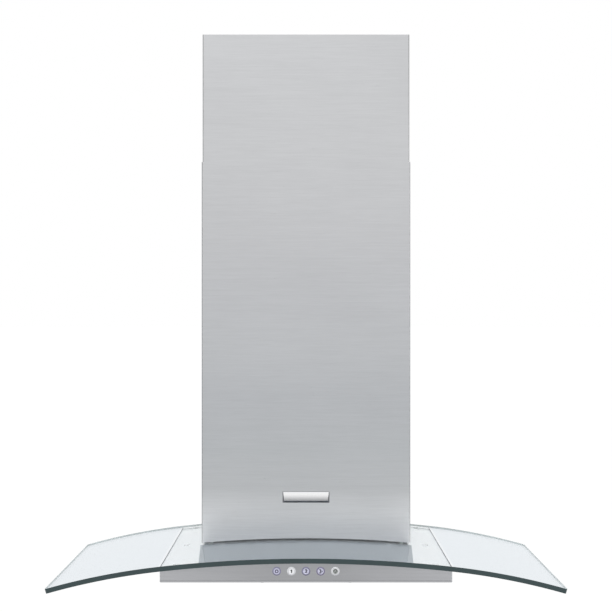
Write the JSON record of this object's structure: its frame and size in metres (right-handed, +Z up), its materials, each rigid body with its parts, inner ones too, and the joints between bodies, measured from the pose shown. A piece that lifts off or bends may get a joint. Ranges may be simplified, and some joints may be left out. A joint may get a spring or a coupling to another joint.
{
  "type": "curved glass range hood",
  "caption": "Wall-mounted range hood with an arched glass canopy, a slim brushed steel body with push buttons, and a telescopic chimney cover.",
  "frame": {"origin": "middle of the hood's width on the wall plane, at the level of the slim body's underside; claimed through the wall face mount", "axes": "+Z up, +X to the right as seen from the room, +Y into the wall, so the hood stands out from the wall towards -Y"},
  "size_m": [0.9, 0.5, 1.0081],
  "materials": {
    "canopy_glass": "clear tempered, polished edge",
    "lamp_glass": "frosted",
    "brushed": "fine horizontal grain",
    "rest_steel": "brushed, seen through the glass",
    "galvanised": "galvanised sheet",
    "fastener": "zinc plated",
    "polished": "polished",
    "badge": "bright, blank",
    "shaft": "ground",
    "motor_case": "black enamel",
    "filter_metal": "anodised",
    "mesh_metal": "layered mesh",
    "lamp_metal": "spun",
    "seal": "soft black",
    "clear_pad": "clear",
    "bush": "soft black",
    "cable": "grey sheath",
    "nylon": "natural nylon",
    "black_plastic": "moulded",
    "grey_plastic": "moulded",
    "white_plastic": "moulded",
    "board": "coated",
    "led": "diode board",
    "button_plain": "satin"
  },
  "bodies": {
    "root": {"glass_canopy": "canopy_glass", "glass_rest_plate": "rest_steel", "glass_seal": "seal", "glass_pads": "clear_pad", "glass_washers": "nylon", "glass_bolts": "fastener", "glass_nuts": "fastener", "body_shell": "brushed", "body_top_plate": "galvanised", "body_back_plate": "galvanised", "bottom_panel": "brushed", "body_screws": "fastener", "motor_box": "galvanised", "box_screws": "fastener", "blower_housing_left": "galvanised", "blower_housing_right": "galvanised", "inlet_rings": "black_plastic", "fan_motor": "motor_case", "motor_bushes": "bush", "motor_bracket": "galvanised", "outlet_collar": "grey_plastic", "collar_screws": "fastener", "damper_pin": "shaft", "junction_box": "grey_plastic", "junction_cover": "grey_plastic", "terminal_block": "white_plastic", "cable_gland": "black_plastic", "capacitor": "white_plastic", "lamp_driver": "white_plastic", "wiring_harness": "cable", "control_housing": "black_plastic", "control_board": "board", "tact_switches": "black_plastic", "button_bezels": "polished", "lamp_bezels": "polished", "lamp_lenses": "lamp_glass", "lamp_housings": "lamp_metal", "lamp_leds": "led", "lower_chimney": "brushed", "badge_plate": "badge", "chimney_clips": "galvanised", "clip_screws": "fastener"},
    "upper_chimney": {"upper_chimney": "brushed", "ceiling_bracket": "galvanised", "bracket_screws": "fastener"},
    "impeller": {"impeller": "galvanised", "motor_shaft": "shaft"},
    "damper_front": {"damper_flap_front": "grey_plastic"},
    "damper_rear": {"damper_flap_rear": "grey_plastic"},
    "button_1": {"button_1": "button_plain"},
    "button_2": {"button_2": "button_plain"},
    "button_3": {"button_3": "button_plain"},
    "button_4": {"button_4": "button_plain"},
    "button_5": {"button_5": "button_plain"},
    "filter_left": {"filter_frame_left": "filter_metal", "filter_mesh_left": "mesh_metal"},
    "latch_left": {"filter_latch_left": "polished"},
    "filter_right": {"filter_frame_right": "filter_metal", "filter_mesh_right": "mesh_metal"},
    "latch_right": {"filter_latch_right": "polished"}
  },
  "joints": [
    {"name": "upper_chimney_slide", "type": "slide", "parent": "root", "child": "upper_chimney", "axis": [0, 0, 1], "range_m": [-0.21, 0.12]},
    {"name": "fan_spin", "type": "hinge", "parent": "root", "child": "impeller", "pos_m": [0, -0.088, 0.141], "axis": [1, 0, 0], "continuous": true},
    {"name": "damper_front_swing", "type": "hinge", "parent": "root", "child": "damper_front", "pos_m": [0, -0.1495, 0.322], "axis": [-1, 0, 0], "range_deg": [0, 80]},
    {"name": "damper_rear_swing", "type": "hinge", "parent": "root", "child": "damper_rear", "pos_m": [0, -0.1495, 0.322], "axis": [1, 0, 0], "range_deg": [0, 80]},
    {"name": "button_1_press", "type": "slide", "parent": "root", "child": "button_1", "axis": [0, 1, 0], "range_m": [0, 0.0025], "stiffness_N_per_m": 400, "springref_m": -0.0005},
    {"name": "button_2_press", "type": "slide", "parent": "root", "child": "button_2", "axis": [0, 1, 0], "range_m": [0, 0.0025], "stiffness_N_per_m": 400, "springref_m": -0.0005},
    {"name": "button_3_press", "type": "slide", "parent": "root", "child": "button_3", "axis": [0, 1, 0], "range_m": [0, 0.0025], "stiffness_N_per_m": 400, "springref_m": -0.0005},
    {"name": "button_4_press", "type": "slide", "parent": "root", "child": "button_4", "axis": [0, 1, 0], "range_m": [0, 0.0025], "stiffness_N_per_m": 400, "springref_m": -0.0005},
    {"name": "button_5_press", "type": "slide", "parent": "root", "child": "button_5", "axis": [0, 1, 0], "range_m": [0, 0.0025], "stiffness_N_per_m": 400, "springref_m": -0.0005},
    {"name": "filter_left_swing", "type": "hinge", "parent": "root", "child": "filter_left", "pos_m": [-0.1188, -0.0568, 0], "axis": [1, 0, 0], "range_deg": [0, 75]},
    {"name": "latch_left_slide", "type": "slide", "parent": "filter_left", "child": "latch_left", "axis": [0, 1, 0], "range_m": [-0.005, 0]},
    {"name": "filter_right_swing", "type": "hinge", "parent": "root", "child": "filter_right", "pos_m": [0.1188, -0.0568, 0], "axis": [1, 0, 0], "range_deg": [0, 75]},
    {"name": "latch_right_slide", "type": "slide", "parent": "filter_right", "child": "latch_right", "axis": [0, 1, 0], "range_m": [-0.005, 0]}
  ]
}
